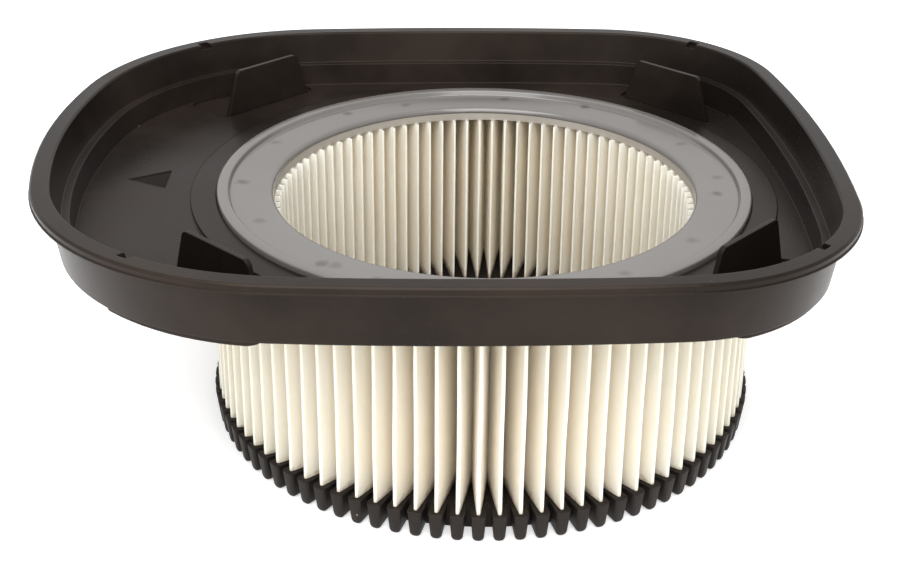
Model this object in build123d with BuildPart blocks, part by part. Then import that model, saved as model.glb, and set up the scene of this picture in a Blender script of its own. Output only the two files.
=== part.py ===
"""Cylindrical pleated HEPA filter cartridge hanging under a rounded-D plastic tray.

Millimetres, +Z up. The origin is on the filter's axis, on the flat underside of
the bottom cap. -X is the bowed end of the tray with the arrow mark, +X is the
flatter end.
"""
import math
import os

from build123d import *

# Pleated media: one sheet folded round the axis
pleat_count = 90
first_pleat_angle = -1.13
media_outer_radius = 103.2
media_inner_radius = 77.0
media_thickness = 0.9
fold_width = 1.7
fold_chamfer = 0.45
valley_depth = 2.6
media_height = 75.7

# Bottom cap: a cast disc with a toothed edge, one tooth under each outer fold
cap_disc_thickness = 7.6
cap_lip_height = 10.9
cap_overhang = 1.8
cap_draft = 1.4
lip_clearance = 0.2
tooth_gap_top = 2.1
tooth_gap_bottom = 3.6
tooth_gap_depth = 10.0
tooth_chamfer = 1.2

# Potting bed between the top of the media and the tray
potting_thickness = 2.2
potting_upstand = 0.7
bore_inset = 2.2

# Tray outline: two bowed ends and two slightly bowed sides
tray_right = 128.0
tray_left = 161.6
tray_half_width = 128.5
right_bow_radius = 544.0
left_bow_radius = 249.0
side_bow_radius = 1012.0
side_bow_centre = 4.8
right_corner_radius = 70.0
left_corner_radius = 94.0

# Tray section, with insets measured inwards from the outline of the rim
tray_depth = 23.9
floor_thickness = 1.8
rib_height = 1.2
rib_width = 9.2
rib_clearance = 0.3
lip_thickness = 3.1
lip_overhang = 5.0
lip_chamfer = 0.7
lip_bead_height = 0.6
lip_bead_step = 0.35
wall_draft = 3.2
rim_width = 7.0
rim_chamfer = 0.5
upper_wall_draft = 2.5
ledge_drop = 12.9
ledge_width = 3.0
lower_wall_draft = 0.8

# Upright fins across the corners of the tray, outside both the rib and the media
fin_clearance_left = 16.9
fin_clearance_right = 6.9
fin_thickness = 1.8
fin_half_base = 22.0
fin_half_top = 16.0
fin_drop = 3.9
fin_corner_radius = 2.5

# Sunken pockets behind the fins
pocket_length = 55.0
pocket_lead = 4.0
pocket_depth = 1.3
pocket_edge = 1.5
pocket_wall = 2.0
pocket_drop = 2.2
pocket_corner_radius = 5.0

# Notches in the inner edge of the rim and the arrow mark in the floor
notch_width = 4.5
notch_depth = 3.0
notch_drop = 2.0
notch_angles = (138.8, 47.5, -137.5, -44.9)
arrow_tip = (-134.6, 5.9)
arrow_base_x = -119.6
arrow_base_low = -2.7
arrow_base_high = 14.2
arrow_depth = 0.5

# Seal ring: a flat band with a raised outer bead and a collar in the tray's hole
ring_width = 20.8
bead_width = 4.4
bead_height = 2.0
bead_chamfer = 0.4
band_thickness = 1.2
ring_inner_round = 1.6
collar_thickness = 4.5
collar_clearance = 0.3

# Levels that follow from the sizes above
media_bottom_z = cap_disc_thickness
media_top_z = media_bottom_z + media_height
tray_bottom_z = media_top_z + potting_thickness
floor_z = tray_bottom_z + floor_thickness
rim_z = tray_bottom_z + tray_depth
lip_z = rim_z - lip_thickness
ledge_z = rim_z - ledge_drop
band_z = floor_z + band_thickness
bead_z = band_z + bead_height
upstand_z = tray_bottom_z + potting_upstand

# Radii that follow from the sizes above
bore_radius = media_inner_radius + bore_inset
collar_radius = bore_radius + collar_thickness
hole_radius = collar_radius + collar_clearance
ring_outer_radius = bore_radius + ring_width
rib_inner_radius = ring_outer_radius + rib_clearance
rib_outer_radius = rib_inner_radius + rib_width
fin_inner_limit = max(rib_outer_radius, media_outer_radius)
cap_outer_radius = media_outer_radius + cap_overhang
fin_distance_left = fin_inner_limit + fin_clearance_left
fin_distance_right = fin_inner_limit + fin_clearance_right
pleat_angle = 360 / pleat_count

os.makedirs("parts", exist_ok=True)


def tray_outline(inset):
    """The tray's outline in plan, moved inwards by inset."""
    with BuildSketch(mode=Mode.PRIVATE) as outline:
        with Locations((tray_right - right_bow_radius, 0)):
            Circle(right_bow_radius - inset)
        with Locations((left_bow_radius - tray_left, 0)):
            Circle(left_bow_radius - inset, mode=Mode.INTERSECT)
        with Locations((side_bow_centre, tray_half_width - side_bow_radius)):
            Circle(side_bow_radius - inset, mode=Mode.INTERSECT)
        with Locations((side_bow_centre, side_bow_radius - tray_half_width)):
            Circle(side_bow_radius - inset, mode=Mode.INTERSECT)
        fillet(outline.vertices().group_by(Axis.X)[-1], right_corner_radius - inset)
        fillet(outline.vertices().group_by(Axis.X)[0], left_corner_radius - inset)
    return outline.sketch


# One pleat in plan, along +X: an outer fold between two halves of inner folds
half_pitch = math.radians(pleat_angle / 2)
valley_radius = media_inner_radius + valley_depth


def on_ray(radius, side, shift=0.0):
    """A point on the ray between two pleats, moved sideways towards this pleat."""
    angle = side * half_pitch
    x = radius * math.cos(angle) + side * shift * math.sin(angle)
    y = radius * math.sin(angle) - side * shift * math.cos(angle)
    return (x, y)


with BuildSketch() as pleat:
    with BuildLine():
        Polyline(
            on_ray(valley_radius, 1),
            (media_outer_radius, fold_width / 2),
            (media_outer_radius, -fold_width / 2),
            on_ray(valley_radius, -1),
            on_ray(media_inner_radius, -1),
            on_ray(media_inner_radius, -1, fold_width / 2),
            (media_outer_radius - media_thickness, 0),
            on_ray(media_inner_radius, 1, fold_width / 2),
            on_ray(media_inner_radius, 1),
            close=True,
        )
    make_face()
    chamfer(pleat.vertices().group_by(Axis.X)[-1], fold_chamfer)

# Section of the bottom cap from the axis to its outer edge
with BuildSketch(Plane.XZ) as cap_section:
    with BuildLine():
        Polyline(
            (0, 0),
            (cap_outer_radius - cap_draft, 0),
            (cap_outer_radius, cap_lip_height),
            (media_outer_radius + lip_clearance, cap_lip_height),
            (media_outer_radius + lip_clearance, cap_disc_thickness),
            (0, cap_disc_thickness),
            close=True,
        )
    make_face()

with BuildPart() as cap_blank:
    add(cap_section.sketch)
    revolve(axis=Axis.Z)

# The gap between two teeth, wider at the bottom
gap_plane = Plane(
    origin=(cap_outer_radius - tooth_gap_depth, 0, 0), x_dir=(0, 1, 0), z_dir=(1, 0, 0)
)
with BuildPart() as tooth_gap:
    with BuildSketch(gap_plane) as gap_section:
        with BuildLine():
            Polyline(
                (-tooth_gap_bottom / 2 - tooth_chamfer, 0),
                (tooth_gap_bottom / 2 + tooth_chamfer, 0),
                (tooth_gap_bottom / 2, tooth_chamfer),
                (tooth_gap_top / 2, cap_lip_height),
                (-tooth_gap_top / 2, cap_lip_height),
                (-tooth_gap_bottom / 2, tooth_chamfer),
                close=True,
            )
        make_face()
    extrude(amount=tooth_gap_depth + 1)

with BuildPart() as bottom_cap:
    add(cap_blank.part)
    with PolarLocations(0, pleat_count, start_angle=first_pleat_angle + pleat_angle / 2):
        add(tooth_gap.part, mode=Mode.SUBTRACT)
bottom_cap.part.label = "bottom_cap"

with BuildPart() as pleated_media:
    with BuildSketch(Plane.XY.offset(media_bottom_z)):
        with PolarLocations(0, pleat_count, start_angle=first_pleat_angle):
            add(pleat.sketch)
    extrude(amount=media_height)
pleated_media.part.label = "pleated_media"

with BuildPart() as top_potting:
    with BuildSketch(Plane.XZ):
        with BuildLine():
            Polyline(
                (bore_radius, media_top_z),
                (media_outer_radius, media_top_z),
                (media_outer_radius, tray_bottom_z),
                (collar_radius, tray_bottom_z),
                (collar_radius, upstand_z),
                (bore_radius, upstand_z),
                close=True,
            )
        make_face()
    revolve(axis=Axis.Z)
top_potting.part.label = "top_potting"

with BuildPart() as top_ring:
    with BuildSketch(Plane.XZ) as ring_section:
        with BuildLine():
            Polyline(
                (bore_radius, upstand_z),
                (collar_radius, upstand_z),
                (collar_radius, floor_z),
                (ring_outer_radius, floor_z),
                (ring_outer_radius, bead_z),
                (ring_outer_radius - bead_width, bead_z),
                (ring_outer_radius - bead_width, band_z),
                (bore_radius, band_z),
                close=True,
            )
        make_face()
        chamfer(ring_section.vertices().group_by(Axis.Y)[-1], bead_chamfer)
        inner_edge = ring_section.vertices().group_by(Axis.X)[0].sort_by(Axis.Y)[-1]
        fillet(inner_edge, ring_inner_round)
    revolve(axis=Axis.Z)
top_ring.part.label = "top_ring"

# Insets of the tray's walls at each level
outer_bottom_inset = lip_overhang + wall_draft
ledge_inset = rim_width + upper_wall_draft
lower_top_inset = ledge_inset + ledge_width
floor_inset = lower_top_inset + lower_wall_draft
pocket_bump_inset = outer_bottom_inset + pocket_edge
pocket_inset = max(pocket_bump_inset + pocket_wall, floor_inset)

# Each fin stands square to a diagonal from the filter's axis
fin_places = (
    (45, fin_distance_right),
    (135, fin_distance_left),
    (225, fin_distance_left),
    (315, fin_distance_right),
)


def strips_to_outline(height, inset, places, width):
    """Strips that run outwards from each place to the outline moved inwards."""
    with BuildSketch(Plane.XY.offset(height), mode=Mode.PRIVATE) as plan:
        for angle, distance in places:
            with PolarLocations(distance, 1, start_angle=angle):
                Rectangle(tray_left, width, align=(Align.MIN, Align.CENTER))
        add(tray_outline(inset), mode=Mode.INTERSECT)
        if width > 2 * pocket_corner_radius:
            fillet(plan.vertices(), pocket_corner_radius)
    return plan.sketch


bump_places = [(angle, distance - pocket_lead) for angle, distance in fin_places]
hollow_places = [(angle, distance + pocket_wall) for angle, distance in bump_places]
notch_places = [(angle, ring_outer_radius) for angle in notch_angles]

with BuildPart() as pocket_bumps:
    bump_z = tray_bottom_z - pocket_drop
    add(strips_to_outline(bump_z, pocket_bump_inset, bump_places, pocket_length))
    extrude(amount=pocket_drop + floor_thickness / 2)

with BuildPart() as pocket_hollows:
    hollow_length = pocket_length - 2 * pocket_wall
    hollow_z = floor_z - pocket_depth
    add(strips_to_outline(hollow_z, pocket_inset, hollow_places, hollow_length))
    extrude(amount=pocket_depth)

with BuildPart() as rim_notches:
    notch_z = rim_z - notch_drop
    add(strips_to_outline(notch_z, rim_width - notch_depth, notch_places, notch_width))
    extrude(amount=notch_drop)

with BuildPart() as tray:
    with BuildSketch(Plane.XY.offset(tray_bottom_z)):
        add(tray_outline(outer_bottom_inset))
    with BuildSketch(Plane.XY.offset(lip_z)):
        add(tray_outline(lip_overhang))
    loft(ruled=True)

    # Rim lip, with a thin bead along its lower edge
    with BuildSketch(Plane.XY.offset(lip_z)):
        add(tray_outline(lip_bead_step))
    extrude(amount=lip_thickness)
    with BuildSketch(Plane.XY.offset(lip_z)):
        add(tray_outline(0))
    extrude(amount=lip_bead_height)

    # Hollow above the ledge
    with BuildSketch(Plane.XY.offset(ledge_z)):
        add(tray_outline(ledge_inset))
    with BuildSketch(Plane.XY.offset(rim_z)):
        add(tray_outline(rim_width))
    loft(ruled=True, mode=Mode.SUBTRACT)

    # Broken edges of the rim, outside and inside
    rim_top = tray.faces().filter_by(Axis.Z).sort_by(Axis.Z)[-1]
    chamfer(rim_top.outer_wire().edges(), lip_chamfer)
    rim_top = tray.faces().filter_by(Axis.Z).sort_by(Axis.Z)[-1]
    chamfer(rim_top.inner_wires().edges(), rim_chamfer)

    # Hollow below the ledge, down to the floor
    with BuildSketch(Plane.XY.offset(floor_z)):
        add(tray_outline(floor_inset))
    with BuildSketch(Plane.XY.offset(ledge_z)):
        add(tray_outline(lower_top_inset))
    loft(ruled=True, mode=Mode.SUBTRACT)

    # Low rib round the seal ring
    with BuildSketch(Plane.XY.offset(floor_z)):
        Circle(rib_outer_radius)
        Circle(rib_inner_radius, mode=Mode.SUBTRACT)
    extrude(amount=rib_height)

    # Pockets in the floor, bulging out of the underside
    add(pocket_bumps.part)
    add(pocket_hollows.part, mode=Mode.SUBTRACT)

    # Notches in the rim's inner edge
    add(rim_notches.part, mode=Mode.SUBTRACT)

    # Fins
    for angle, distance in fin_places:
        across = Plane(
            origin=(
                distance * math.cos(math.radians(angle)),
                distance * math.sin(math.radians(angle)),
                floor_z - pocket_depth,
            ),
            x_dir=(-math.sin(math.radians(angle)), math.cos(math.radians(angle)), 0),
            z_dir=(math.cos(math.radians(angle)), math.sin(math.radians(angle)), 0),
        )
        fin_height = rim_z - fin_drop - (floor_z - pocket_depth)
        with BuildSketch(across) as fin:
            with BuildLine():
                Polyline(
                    (-fin_half_base, 0),
                    (fin_half_base, 0),
                    (fin_half_top, fin_height),
                    (-fin_half_top, fin_height),
                    close=True,
                )
            make_face()
            fillet(fin.vertices().group_by(Axis.Y)[-1], fin_corner_radius)
        extrude(amount=fin_thickness / 2, both=True)

    # Hole for the filter
    with BuildSketch(Plane.XY.offset(tray_bottom_z)):
        Circle(hole_radius)
    extrude(amount=floor_thickness, mode=Mode.SUBTRACT)

    # Arrow mark
    with BuildSketch(Plane.XY.offset(floor_z - arrow_depth)):
        with BuildLine():
            Polyline(
                arrow_tip,
                (arrow_base_x, arrow_base_low),
                (arrow_base_x, arrow_base_high),
                close=True,
            )
        make_face()
    extrude(amount=arrow_depth, mode=Mode.SUBTRACT)
tray.part.label = "tray"

for piece in (bottom_cap, pleated_media, top_potting, top_ring, tray):
    export_step(piece.part, f"parts/{piece.part.label}.step")
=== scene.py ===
# %% [markdown]
# This lesson builds the looks of a cylindrical pleated air filter. A ring of pale
# folded sheet stands on a black toothed cap and hangs under a wide black tray, with
# a grey seal ring round the open bore. The engineering model is loaded first and
# fixes the sizes. Its sheet, ring and cap are made again here with finer shapes. Its
# tray and the resin bed under it keep their shapes and are only given a finish.
# Lengths on the filter are written in millimetres and multiplied by MM, as Blender's
# unit is the metre. Places in the studio are in metres.

import math

import bmesh
import bpy
from mathutils import Matrix, Vector, noise


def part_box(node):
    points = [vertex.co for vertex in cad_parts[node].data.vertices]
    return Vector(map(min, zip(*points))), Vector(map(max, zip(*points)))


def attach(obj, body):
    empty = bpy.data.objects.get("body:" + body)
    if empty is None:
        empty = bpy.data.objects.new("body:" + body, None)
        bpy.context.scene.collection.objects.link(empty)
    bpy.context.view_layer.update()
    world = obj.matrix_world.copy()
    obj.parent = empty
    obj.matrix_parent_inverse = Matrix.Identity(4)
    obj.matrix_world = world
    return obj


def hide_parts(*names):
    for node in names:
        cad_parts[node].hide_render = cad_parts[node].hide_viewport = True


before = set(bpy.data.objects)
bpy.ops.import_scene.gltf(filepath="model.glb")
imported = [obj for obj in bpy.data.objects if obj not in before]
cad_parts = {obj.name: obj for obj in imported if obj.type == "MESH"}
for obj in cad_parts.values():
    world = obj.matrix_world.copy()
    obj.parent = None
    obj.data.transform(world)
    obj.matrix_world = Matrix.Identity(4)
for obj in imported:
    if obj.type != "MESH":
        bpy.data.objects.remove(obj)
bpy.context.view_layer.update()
MM = 0.001


# %% [markdown]
# The photograph looks down on the tray from the front, a little left of the middle.
# A camera can be moved by eye until the picture fits. This one was worked out from
# the photograph instead, so that a render can be laid over it. Its lens and the point
# straight ahead of it are given in pixels of the photograph. That point isn't the
# middle of the picture, and the two shifts make up for it. The camera is turned by
# its right and up directions and by the one square to both, back to the viewer.

# %% Camera
PICTURE_WIDTH, PICTURE_HEIGHT = 900, 567
LENS_PIXELS = 1466.3
AHEAD_X, AHEAD_Y = 500, 191.04
SENSOR_WIDTH = 36.0
CAMERA_PLACE = (-0.027483, -0.509971, 0.307918)
CAMERA_RIGHT = Vector((0.99821327, -0.05592606, 0.02103694))
CAMERA_UP = Vector((0.0031731, 0.40119091, 0.91598896))


def place_camera():
    data = bpy.data.cameras.new("photo_camera")
    data.sensor_width = SENSOR_WIDTH
    data.lens = LENS_PIXELS / PICTURE_WIDTH * SENSOR_WIDTH
    data.shift_x = (PICTURE_WIDTH / 2 - AHEAD_X) / PICTURE_WIDTH
    data.shift_y = (AHEAD_Y - PICTURE_HEIGHT / 2) / PICTURE_WIDTH
    data.clip_start = 10 * MM
    back = CAMERA_RIGHT.cross(CAMERA_UP)
    turn = Matrix((CAMERA_RIGHT, CAMERA_UP, back)).transposed().to_4x4()
    camera = bpy.data.objects.new("photo_camera", data)
    camera.matrix_world = Matrix.Translation(CAMERA_PLACE) @ turn
    bpy.context.collection.objects.link(camera)
    bpy.context.scene.camera = camera
    return camera


camera = place_camera()
print("lens, mm:", round(camera.data.lens, 2))


# %% [markdown]
# A finish is a small network of nodes. Adding and linking them one by one takes many
# lines, so three small classes keep it readable. Value wraps a socket, and arithmetic
# on it adds Math nodes, so that a mask is written as an ordinary sum. Nodes makes
# every node through one method.

# %% Values and nodes
class Value:
    """A number or colour on its way through a tree of nodes."""

    def __init__(self, nodes, socket):
        self.nodes = nodes
        self.socket = socket

    def __add__(self, other):
        return self.nodes.arithmetic("ADD", self, other)

    def __sub__(self, other):
        return self.nodes.arithmetic("SUBTRACT", self, other)

    def __rsub__(self, other):
        return self.nodes.arithmetic("SUBTRACT", other, self)

    def __mul__(self, other):
        return self.nodes.arithmetic("MULTIPLY", self, other)

    __radd__ = __add__
    __rmul__ = __mul__


class Nodes:
    """A tree of nodes while it is being made."""

    def __init__(self, tree):
        self.tree = tree

    def node(self, kind, settings=None, sockets=None, output=0):
        made = self.tree.nodes.new(kind)
        for key, value in (settings or {}).items():
            if key == "stops":
                self.fill_ramp(made.color_ramp, value)
            else:
                setattr(made, key, value)
        for key, value in (sockets or {}).items():
            self.feed(made.inputs[key], value)
        return Value(self, made.outputs[output])

    def fill_ramp(self, ramp, stops):
        for element, (position, level) in zip(ramp.elements, stops):
            element.position = position
            element.color = (level, level, level, 1.0)

    def feed(self, socket, value):
        if isinstance(value, Value):
            self.tree.links.new(value.socket, socket)
        else:
            socket.default_value = value

    def arithmetic(self, operation, first, second):
        return self.node("ShaderNodeMath", {"operation": operation}, {0: first, 1: second})

    def fade(self, factor, start, end):
        """A grey that goes from one level to another, each given after its position."""
        return self.node("ShaderNodeValToRGB", {"stops": (start, end)}, {"Fac": factor})


# %% [markdown]
# Finish adds a material and its shader to the nodes. What is the same all over a
# surface is set on the shader when the finish is made, and what changes over it is
# shaded in later from noise. The noise is read at the place of each point in its own
# piece, so that a pattern stays on the surface and needs no unwrapping.

# %% Finishes
class Finish(Nodes):
    """One material while it is being made."""

    def __init__(self, name, **constants):
        self.material = bpy.data.materials.new(name)
        self.material.use_nodes = True
        super().__init__(self.material.node_tree)
        self.shader = self.tree.nodes["Principled BSDF"]
        for socket, value in constants.items():
            self.shader.inputs[socket.replace("_", " ")].default_value = value

    def shade(self, name, value):
        self.feed(self.shader.inputs[name], value)

    def place(self):
        return self.node("ShaderNodeTexCoord", output="Object")

    def part(self, vector, axis):
        return self.node("ShaderNodeSeparateXYZ", sockets={"Vector": vector}, output=axis)

    def noise(self, vector, scale, detail=2.0, roughness=0.5):
        sockets = {"Vector": vector, "Scale": scale, "Detail": detail, "Roughness": roughness}
        return self.node("ShaderNodeTexNoise", sockets=sockets)

    def mix(self, factor, first, second, blend="MIX"):
        """Mixes colours, which a Mix node takes in its sockets 6 and 7 and gives out of 2."""
        settings = {"data_type": "RGBA", "blend_type": blend}
        return self.node("ShaderNodeMix", settings, {0: factor, 6: first, 7: second}, output=2)

    def bump(self, height, distance, strength=1.0, edge=0.0):
        """Relief from a height, over corners that are rounded by the radius edge."""
        sockets = {"Height": height, "Distance": distance, "Strength": strength}
        if edge:
            sockets["Normal"] = self.node("ShaderNodeBevel", {"samples": 6}, {"Radius": edge})
        self.shade("Normal", self.node("ShaderNodeBump", sockets=sockets))


# %% [markdown]
# The tray is moulded black plastic with a satin sheen, smeared and dusty from use. Its
# brightness in the photograph is nearly all reflection, so the colour is very dark
# and the roughness carries the look. A low index of refraction and a warm tint keep
# the reflection dim and brown. An image of dust could be laid over the tray, but
# noise has no seams. The Bevel node behind the relief rounds sharp edges in the
# shading alone, which is enough for the thin highlights along them.

# %% Tray plastic
def specks(finish, place):
    """Pale specks where a cell's random number is high enough: tray dust, painted glints on the
    cap.
    """
    cells = {"Vector": place, "Scale": 130.0}
    near = finish.node("ShaderNodeTexVoronoi", sockets=cells)
    chance = finish.node("ShaderNodeTexVoronoi", sockets=cells, output="Color")
    dot = finish.fade(near, (0.03, 1), (0.06, 0))
    return dot * finish.fade(chance, (0.8, 0), (0.84, 1))


def arrow_mask(finish, place):
    """One inside the sunken arrow mark, which is rougher than the floor round it."""
    tip_x, tip_y = -134.6 * MM, 5.9 * MM
    base_x, low_y, high_y = -119.6 * MM, -2.7 * MM, 14.2 * MM
    sharpness = 4000.0
    x = finish.part(place, "X")
    y = finish.part(place, "Y")
    along = x - tip_x
    upper_side = along * ((high_y - tip_y) / (base_x - tip_x)) + tip_y
    lower_side = along * ((low_y - tip_y) / (base_x - tip_x)) + tip_y
    inside = finish.arithmetic("MINIMUM", upper_side - y, y - lower_side)
    inside = finish.arithmetic("MINIMUM", inside, base_x - x)
    return finish.fade(inside * sharpness, (0.0, 0), (1.0, 1))


def tray_plastic():
    deep_black, worn_black = (0.007, 0.0054, 0.0043, 1), (0.0105, 0.0081, 0.0066, 1)
    arrow_black = (0.006, 0.0052, 0.0045, 1)
    smear_brown, pale_dust = (0.024, 0.0172, 0.014, 1), (0.22, 0.2, 0.17, 1)
    finish = Finish("tray_moulding", IOR=1.25, Specular_Tint=(1.0, 0.8, 0.68, 1))
    place = finish.place()
    cloud = finish.noise(place, 22.0, 3.0)
    grain = finish.noise(place, 900.0, 2.0)
    smear = finish.fade(finish.noise(place, 13.0, 5.0, 0.6), (0.46, 0), (0.66, 1))
    arrow = arrow_mask(finish, place)
    smeared = finish.mix(smear * 0.7, finish.mix(cloud, deep_black, worn_black), smear_brown)
    dusty = finish.mix(specks(finish, place), smeared, pale_dust)
    finish.shade("Base Color", finish.mix(arrow, dusty, arrow_black))
    finish.shade("Roughness", 0.19 + cloud * 0.14 + smear * 0.1 + grain * 0.06 + arrow * 0.4)
    finish.bump(grain, 0.04 * MM, 0.5, edge=0.6 * MM)
    return finish.material


# %% [markdown]
# The seal ring and the bed under it are cast polyurethane. The ring is mid grey, with
# small brownish marks spaced round its flat band. They could be left to noise alone,
# but then none would stand where the photograph shows one. So each is placed by its
# angle in degrees and its distance from the axis in millimetres, and noise only
# ruffles its outline.

# %% Seal ring and potting
BAND_LEVEL = 88.5
MARK_SIZE, MARK_VARIATION = 2.9, 0.9
STRONG_MARK, WEAK_MARK = 0.9, 0.55
RING_MARKS = [
    (-180, 90.9), (-157, 88.6), (154, 91.4), (-130, 90.1), (-127, 88.3),
    (-116, 89.3), (127, 91.0), (110, 88.6), (82, 91.6), (60, 93.2),
    (25, 89.7), (2, 89.7), (-8, 87.4), (-37, 87.5), (-61, 88.8),
]


def marks_mask(finish, place):
    """Blots round the band, each strongest at its middle and fading to nothing."""
    ruffle = finish.noise(place, 380.0, 2.0) * 1.4 + 0.3
    mask = 0.0
    for number, (angle, radius) in enumerate(RING_MARKS):
        turn = Matrix.Rotation(math.radians(angle), 4, "Z")
        middle = turn @ Vector((radius * MM, 0, BAND_LEVEL * MM))
        away = finish.node("ShaderNodeVectorMath", {"operation": "DISTANCE"},
                           {0: place, 1: middle}, output="Value")
        size = (MARK_SIZE + MARK_VARIATION * noise.noise(Vector((number * 3.7, 0, 0)))) * MM
        strength = STRONG_MARK if number % 3 == 0 else WEAK_MARK
        blot = finish.fade(away * ruffle * (1 / size), (0.3, strength), (1.0, 0))
        mask = finish.arithmetic("MAXIMUM", mask, blot)
    return mask


def ring_rubber():
    darker, lighter = (0.108, 0.1, 0.094, 1), (0.134, 0.124, 0.116, 1)
    mark_brown = (0.055, 0.036, 0.028, 1)
    finish = Finish("ring_rubber", IOR=1.62)
    place = finish.place()
    cloud = finish.noise(place, 30.0, 4.0)
    base = finish.mix(cloud, darker, lighter)
    finish.shade("Base Color", finish.mix(marks_mask(finish, place), base, mark_brown))
    finish.shade("Roughness", 0.13 + cloud * 0.1)
    finish.bump(finish.noise(place, 260.0, 3.0), 0.1 * MM, 0.3)
    return finish.material


def potting_resin():
    darker, lighter = (0.30, 0.275, 0.24, 1), (0.40, 0.37, 0.325, 1)
    finish = Finish("potting_resin", IOR=1.45)
    cloud = finish.noise(finish.place(), 60.0, 4.0)
    finish.shade("Base Color", finish.mix(cloud, darker, lighter))
    finish.shade("Roughness", 0.45 + cloud * 0.2)
    finish.bump(cloud, 0.3 * MM, 0.4)
    return finish.material


# %% [markdown]
# The filter sheet is a thin mat of fibres, and light soaks through it. A plain matt
# surface leaves the depths of the folds grey. A translucent shader could be mixed in,
# but here subsurface scattering over about a millimetre warms and brightens the depths.
# Noise stretched along the height gives the drawn look of the fibres, and the lowest
# millimetres are darkened where the resin soaked in.

# %% Filter sheet
def soaked_edge(finish, place):
    """One along the sheet's foot, up to a ragged level, and nothing above it."""
    soak_level, raggedness, sharpness = 6.2 * MM, 5 * MM, 300.0
    height = finish.part(place, "Z") - finish.noise(place, 330.0, 3.0) * raggedness
    return finish.fade((height - soak_level) * sharpness, (0.0, 1), (1.0, 0))


def filter_sheet():
    warm, pale = (0.97, 0.86, 0.70, 1), (0.988, 0.905, 0.78, 1)
    resin_stain = (0.2, 0.17, 0.13, 1)
    finish = Finish("filter_sheet", Roughness=0.95, IOR=1.35, Specular_IOR_Level=0.2,
                    Subsurface_Weight=1.0, Subsurface_Scale=1.1 * MM,
                    Subsurface_Radius=(1.0, 0.97, 0.93))
    place = finish.place()
    drawn = finish.node("ShaderNodeMapping", sockets={"Vector": place, "Scale": (1.0, 1.0, 0.25)})
    fibre = finish.noise(drawn, 1400.0, 4.0, 0.65)
    tone = finish.mix(finish.noise(place, 40.0, 3.0), warm, pale)
    fibrous = finish.mix(0.35, tone, finish.fade(fibre, (0.3, 0.92), (0.6, 1)), "MULTIPLY")
    soaked = soaked_edge(finish, place)
    finish.shade("Base Color", finish.mix(soaked * 0.8, fibrous, resin_stain))
    finish.bump(fibre, 0.12 * MM, 0.45)
    return finish.material


# %% [markdown]
# The bottom cap is cast black rubber. It could share the tray's finish, but the
# photograph shows it duller. So it is rougher, with a cloudy black, the same specks
# in a browner colour as painted glints, and a coarser relief.

# %% Cap rubber
def cap_rubber():
    deep_black, worn_black = (0.0075, 0.0062, 0.0054, 1), (0.014, 0.0118, 0.0104, 1)
    brown_painted_glint = (0.3, 0.25, 0.17, 1)
    finish = Finish("cap_rubber", IOR=1.32, Specular_Tint=(1.0, 0.86, 0.78, 1))
    place = finish.place()
    cloud = finish.noise(place, 45.0, 3.0)
    black = finish.mix(cloud, deep_black, worn_black)
    # The specks on the cap are painted glints, in a brownish colour.
    finish.shade("Base Color", finish.mix(specks(finish, place), black, brown_painted_glint))
    finish.shade("Roughness", 0.4 + cloud * 0.2)
    finish.bump(finish.noise(place, 500.0, 2.0), 0.08 * MM, 0.4)
    return finish.material


tray_finish = tray_plastic()
ring_finish = ring_rubber()
potting_finish = potting_resin()
sheet_finish = filter_sheet()
cap_finish = cap_rubber()
print("materials:", [m.name for m in bpy.data.materials if m.use_nodes])


# %% [markdown]
# A round piece is an outline turned about the axis, and the folds and teeth are one
# shape repeated round it. Each new piece is a bmesh until it is finished. The last
# helper turns it into an object at the origin, with its place in its mesh, gives it
# its material, hangs it under the root body and hides the part of the model it stands for.

# %% Helpers for pieces
PLEATS = 90
FIRST_PLEAT = math.radians(-1.13)
ORIGIN, UP = (0, 0, 0), (0, 0, 1)
MERGE_DISTANCE = 0.01 * MM


def section(shape, corners):
    """A closed outline standing in the XZ plane, from its corners' radii and heights."""
    points = [shape.verts.new((radius * MM, 0, height * MM)) for radius, height in corners]
    for first, second in zip(points, points[1:] + points[:1]):
        shape.edges.new((first, second))
    return points


def round_points(shape, points, size):
    """Cuts an outline's corners back into arcs."""
    bmesh.ops.bevel(shape, geom=points, offset=size * MM, segments=4, profile=0.5,
                    affect="VERTICES", material=-1)


def turn_full(shape, steps):
    bmesh.ops.spin(shape, geom=shape.verts[:] + shape.edges[:], cent=ORIGIN, axis=UP,
                   angle=2 * math.pi, steps=steps, use_merge=True)
    bmesh.ops.remove_doubles(shape, verts=shape.verts, dist=MERGE_DISTANCE)


def repeat_pleats(shape):
    """Copies of the first pleat's shape round the axis, one for each pleat."""
    geometry = shape.verts[:] + shape.edges[:] + shape.faces[:]
    bmesh.ops.spin(shape, geom=geometry, cent=ORIGIN, axis=UP, steps=PLEATS - 1,
                   angle=2 * math.pi * (PLEATS - 1) / PLEATS, use_duplicate=True)


def only(geometry, kind):
    return [part for part in geometry if isinstance(part, kind)]


def finished_piece(name, shape, finish, node, smooth=35):
    bmesh.ops.recalc_face_normals(shape, faces=shape.faces)
    mesh = bpy.data.meshes.new(name)
    shape.to_mesh(mesh)
    shape.free()
    mesh.materials.append(finish)
    mesh.shade_smooth()
    mesh.set_sharp_from_angle(angle=math.radians(smooth))
    piece = bpy.data.objects.new(name, mesh)
    bpy.context.collection.objects.link(piece)
    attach(piece, "root")
    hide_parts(node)
    print(name, "faces:", len(mesh.polygons))
    return piece


# %% [markdown]
# The sheet is one long strip folded in and out ninety times. A flat strip could be
# bent by modifiers, but the two folds of a pleat differ: the inner one is tight and
# the outer one loose and round. So one pleat is drawn as its centre line, from the
# middle of an inner fold over the outer fold to the next inner fold. Spinning copies
# of it closes the circle, extruding gives the height in rows that can sway, and a
# Solidify modifier gives the sheet its thickness.

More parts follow.
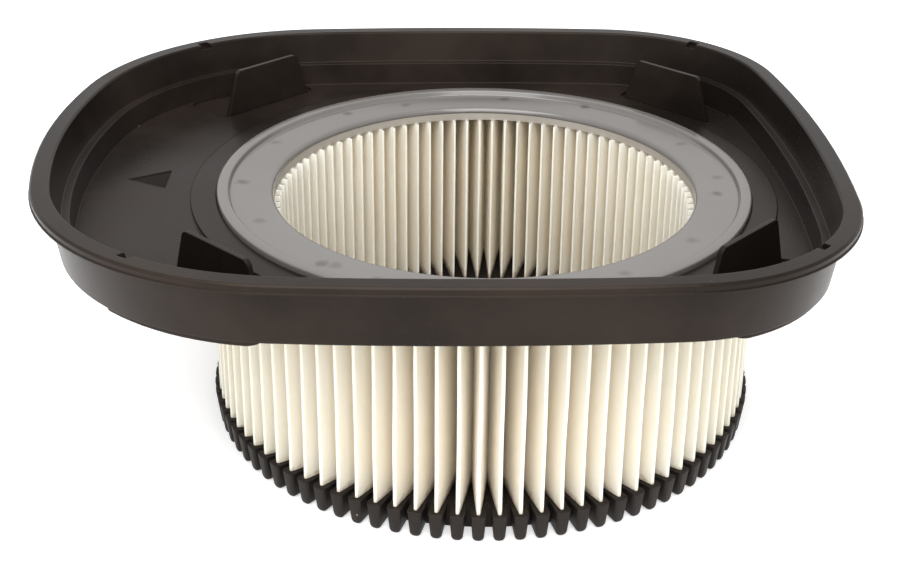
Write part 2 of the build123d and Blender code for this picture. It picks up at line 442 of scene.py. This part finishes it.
# %% Pleated sheet
INNER, OUTER, THICK = 77.0, 103.2, 0.65
TIGHT_FOLD = [(0.0, 0.0), (0.05, 0.1), (0.2, 0.15)]
LOOSE_FOLD = [(0.3, 0.32), (0.07, 0.21), (0.0, 0.0)]
SHEET_ROWS = 14
LEAN = math.radians(0.32)
INNER_LEAN_SHARE = 0.4
sheet_low, sheet_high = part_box("pleated_media")
sheet_height = sheet_high[2] - sheet_low[2]


def pleat_line():
    """Half of a pleat's centre line, from folds given as depths and widths."""
    half = math.pi / PLEATS
    inner, outer = INNER + THICK / 2, OUTER - THICK / 2
    along = Vector((math.cos(half), math.sin(half)))
    aside = Vector((math.sin(half), -math.cos(half)))
    tight = [along * (inner + depth) + aside * width for depth, width in TIGHT_FOLD]
    return tight + [Vector((outer - depth, width)) for depth, width in LOOSE_FOLD]


def pleated_sheet():
    shape = bmesh.new()
    half = pleat_line()
    whole = half + [Vector((p.x, -p.y)) for p in reversed(half[:-1])]
    turn = Matrix.Rotation(FIRST_PLEAT, 4, "Z")
    points = [shape.verts.new(turn @ Vector((p.x * MM, p.y * MM, sheet_low[2]))) for p in whole]
    for first, second in zip(points, points[1:]):
        shape.edges.new((first, second))
    repeat_pleats(shape)
    bmesh.ops.remove_doubles(shape, verts=shape.verts, dist=MERGE_DISTANCE)
    edges = shape.edges[:]
    for row in range(SHEET_ROWS):
        grown = bmesh.ops.extrude_edge_only(shape, edges=edges)["geom"]
        raised = only(grown, bmesh.types.BMVert)
        edges = [e for e in only(grown, bmesh.types.BMEdge) if all(v in raised for v in e.verts)]
        bmesh.ops.translate(shape, verts=raised, vec=(0, 0, sheet_height / SHEET_ROWS))
    return shape


def sway(shape):
    """Folds never stand quite even: each leans a little to one side along its height."""
    for vertex in shape.verts:
        angle = math.atan2(vertex.co.y, vertex.co.x)
        fold = round((angle - FIRST_PLEAT) / (math.pi / PLEATS))
        height = (vertex.co.z - sheet_low[2]) / sheet_height
        side = noise.noise(Vector((fold * 7.3, height * 1.6, 4.0)))
        freedom = math.sin(math.pi * min(max(height, 0), 1)) ** 0.5
        reach = (vertex.co.xy.length / MM - INNER) / (OUTER - INNER)
        share = INNER_LEAN_SHARE + (1 - INNER_LEAN_SHARE) * reach
        vertex.co.xy = Matrix.Rotation(LEAN * side * freedom * share, 2) @ vertex.co.xy


sheet_shape = pleated_sheet()
sway(sheet_shape)
sheet = finished_piece("filter_sheet", sheet_shape, sheet_finish, "pleated_media", smooth=75)
thickness = sheet.modifiers.new("thickness", "SOLIDIFY")
thickness.thickness = THICK * MM
thickness.offset = 0.0
thickness.use_even_offset = True
thickness.use_rim = True
flats = sheet.modifiers.new("flats", "WEIGHTED_NORMAL")
flats.keep_sharp = True


# %% [markdown]
# The seal ring is cast in one: a raised bead round the outside, a flat band and a
# rounded edge at the bore. It could start as a tube with its edges bevelled all
# round, but a profile turned about the axis shows its shape in one list. Each corner
# has a radius, a height and a rounding, and is bevelled before the turn, while it is
# still a single point of the outline.

# %% Seal ring
ring_low, ring_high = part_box("top_ring")
COLLAR_FOOT, SEAT_LEVEL, BEAD_LEVEL = ring_low[2] / MM, 87.3, ring_high[2] / MM
BORE, COLLAR, RING_EDGE = 79.2, 83.7, ring_high[0] / MM
BEAD_FOOT, BEAD_CREST = 95.2, 95.8
RING_CORNERS = [
    (BORE, COLLAR_FOOT, 0.2),
    (COLLAR, COLLAR_FOOT, 0.2),
    (COLLAR, SEAT_LEVEL, 0.1),
    (RING_EDGE, SEAT_LEVEL, 0.3),
    (RING_EDGE, BEAD_LEVEL, 0.7),
    (BEAD_CREST, BEAD_LEVEL, 0.5),
    (BEAD_FOOT, BAND_LEVEL, 0.4),
    (BORE, BAND_LEVEL, 1.9),
]


def seal_ring():
    shape = bmesh.new()
    points = section(shape, [(radius, height) for radius, height, rounding in RING_CORNERS])
    for point, (radius, height, rounding) in zip(points, RING_CORNERS):
        round_points(shape, [point], rounding)
    turn_full(shape, steps=256)
    return shape


ring = finished_piece("seal_ring", seal_ring(), ring_finish, "top_ring")


# %% [markdown]
# The bottom cap is a disc with ninety cast teeth round it, one under each outer fold.
# The teeth could be cut out of the disc, but ninety cuts make an untidy mesh. Here one
# tooth is drawn as an upright outline at the rim, with a rounded foot, pushed inwards
# to the disc and spun round the axis like the folds. Between the folds the resin
# climbs from the disc towards the tops of the teeth.

# %% Bottom cap
cap_low, cap_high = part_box("bottom_cap")
DISC_TOP, LIP_TOP = sheet_low[2] / MM, cap_high[2] / MM
SLOPE_START, ROOT, RIM, RIM_DRAFT = 80.0, 94.8, 105.0, 1.4
TOOTH_TOP, TOOTH_FOOT, FOOT_ROUND, NOSE_ROUND = 5.2, 3.9, 1.7, 1.1
DISC_OVERLAP = 0.3


def resin_level(radius):
    """Height of the resin's surface, which climbs the sheet towards the rim."""
    return DISC_TOP + (LIP_TOP - DISC_TOP) * (radius - SLOPE_START) / (RIM - SLOPE_START)


def tooth():
    shape = bmesh.new()
    foot, top = TOOTH_FOOT / 2, TOOTH_TOP / 2
    outline = [(-foot, 0.0), (foot, 0.0), (top, LIP_TOP), (-top, LIP_TOP)]
    corners = [shape.verts.new((RIM * MM, y * MM, z * MM)) for y, z in outline]
    shape.faces.new(corners)
    round_points(shape, corners[:2], FOOT_ROUND)
    front = shape.verts[:]
    grown = bmesh.ops.extrude_face_region(shape, geom=shape.faces[:])["geom"]
    for vertex in only(grown, bmesh.types.BMVert):
        vertex.co.x = ROOT * MM
        vertex.co.z *= resin_level(ROOT) / LIP_TOP
    for vertex in front:
        vertex.co.x -= RIM_DRAFT * MM * (1 - vertex.co.z / MM / LIP_TOP)
    nose = [e for e in shape.edges if all(v in front for v in e.verts)]
    bmesh.ops.bevel(shape, geom=nose, offset=NOSE_ROUND * MM, segments=3, profile=0.5,
                    affect="EDGES", clamp_overlap=True, material=-1)
    turn = Matrix.Rotation(FIRST_PLEAT, 3, "Z")
    bmesh.ops.rotate(shape, verts=shape.verts, cent=ORIGIN, matrix=turn)
    return shape


def cap_disc():
    """The disc inside the teeth, as a mesh that can be joined to them."""
    edge = ROOT + DISC_OVERLAP
    outline = [(0, 0), (edge, 0), (edge, resin_level(edge)), (SLOPE_START, DISC_TOP), (0, DISC_TOP)]
    shape = bmesh.new()
    section(shape, outline)
    turn_full(shape, steps=180)
    mesh = bpy.data.meshes.new("cap_disc")
    shape.to_mesh(mesh)
    shape.free()
    return mesh


def toothed_cap():
    shape = tooth()
    repeat_pleats(shape)
    disc = cap_disc()
    shape.from_mesh(disc)
    bpy.data.meshes.remove(disc)
    return shape


cap = finished_piece("toothed_cap", toothed_cap(), cap_finish, "bottom_cap", smooth=40)


# %% [markdown]
# The tray and the resin bed under it already have their real shapes in the
# engineering model, down to the lip, the ledge and the fins. Modelling them again
# would only risk a shape that fits less well. So they keep their meshes, and each
# gets its finish in place of the plain one that it came with.

# %% Pieces that keep their shape
for node, finish in (("tray", tray_finish), ("top_potting", potting_finish)):
    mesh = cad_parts[node].data
    mesh.materials.clear()
    mesh.materials.append(finish)
    print(node, "keeps its shape, finish:", finish.name)


# %% [markdown]
# The studio is a wide pale floor under an even white surround. A white floor could be
# had from stronger lamps, but they would wash out the filter too. So the floor
# shines faintly of itself where it is seen directly, in a reflection or through
# something clear, and keeps the soft shadow. It lies a hair below the cap, because
# two faces in the same place would flicker.

# %% Floor
FLOOR_HALF_WIDTH, FLOOR_DROP = 12.0, 0.2 * MM
PAPER, WHITE = (0.86, 0.86, 0.86, 1), (1, 1, 1, 1)
FLOOR_GLOW = 0.45


def seen_directly(nodes):
    """One for the rays that show a surface and nothing for those that only light it."""
    rays = ("Is Camera Ray", "Is Glossy Ray", "Is Transmission Ray")
    direct, glossy, clear = (nodes.node("ShaderNodeLightPath", output=ray) for ray in rays)
    return nodes.arithmetic("MAXIMUM", nodes.arithmetic("MAXIMUM", direct, glossy), clear)


def floor_paper():
    finish = Finish("studio_floor")
    strength = seen_directly(finish) * FLOOR_GLOW
    paper = finish.node("ShaderNodeBsdfDiffuse", sockets={"Color": PAPER})
    glow = finish.node("ShaderNodeEmission", sockets={"Color": WHITE, "Strength": strength})
    both = finish.node("ShaderNodeAddShader", sockets={0: paper, 1: glow})
    finish.feed(finish.tree.nodes["Material Output"].inputs["Surface"], both)
    return finish.material


def studio_floor():
    shape = bmesh.new()
    bmesh.ops.create_grid(shape, x_segments=1, y_segments=1, size=FLOOR_HALF_WIDTH)
    mesh = bpy.data.meshes.new("studio_floor")
    shape.to_mesh(mesh)
    shape.free()
    mesh.materials.append(floor_paper())
    floor = bpy.data.objects.new("studio_floor", mesh)
    floor.location.z = -FLOOR_DROP
    bpy.context.collection.objects.link(floor)
    return floor


floor = studio_floor()
print("floor level, mm:", round(floor.location.z / MM, 2))


# %% [markdown]
# The surround could be an image of a room, but the black plastic would mirror it. An
# even world lights the filter from all sides and is a little brighter where it is
# seen than in the light that it gives. Two large square lamps, one overhead and one
# in front, add the broad highlights and the soft shadow. The Standard view transform
# shows colours about as they are written.

# %% World and lamps
WORLD_LIGHT, WORLD_SEEN = 0.85, 1.0
LAMP_TARGET = Vector((0, 0, 50 * MM))


def studio_world():
    world = bpy.data.worlds.new("studio")
    world.use_nodes = True
    nodes = Nodes(world.node_tree)
    back = nodes.tree.nodes["Background"]
    back.inputs["Color"].default_value = WHITE
    strength = WORLD_LIGHT + seen_directly(nodes) * (WORLD_SEEN - WORLD_LIGHT)
    nodes.feed(back.inputs["Strength"], strength)
    bpy.context.scene.world = world


def soft_lamp(name, place, size, power):
    data = bpy.data.lights.new(name, "AREA")
    data.shape = "SQUARE"
    data.size = size
    data.energy = power
    lamp = bpy.data.objects.new(name, data)
    lamp.location = place
    lamp.rotation_euler = (LAMP_TARGET - lamp.location).to_track_quat("-Z", "Y").to_euler()
    bpy.context.collection.objects.link(lamp)
    print(name, "lamp, watts:", power)


studio_world()
soft_lamp("overhead", (-0.1, -0.35, 1.05), size=0.8, power=9.0)
soft_lamp("front", (-0.1, -1.0, 0.8), size=1.0, power=10.3)
bpy.context.scene.view_settings.view_transform = "Standard"
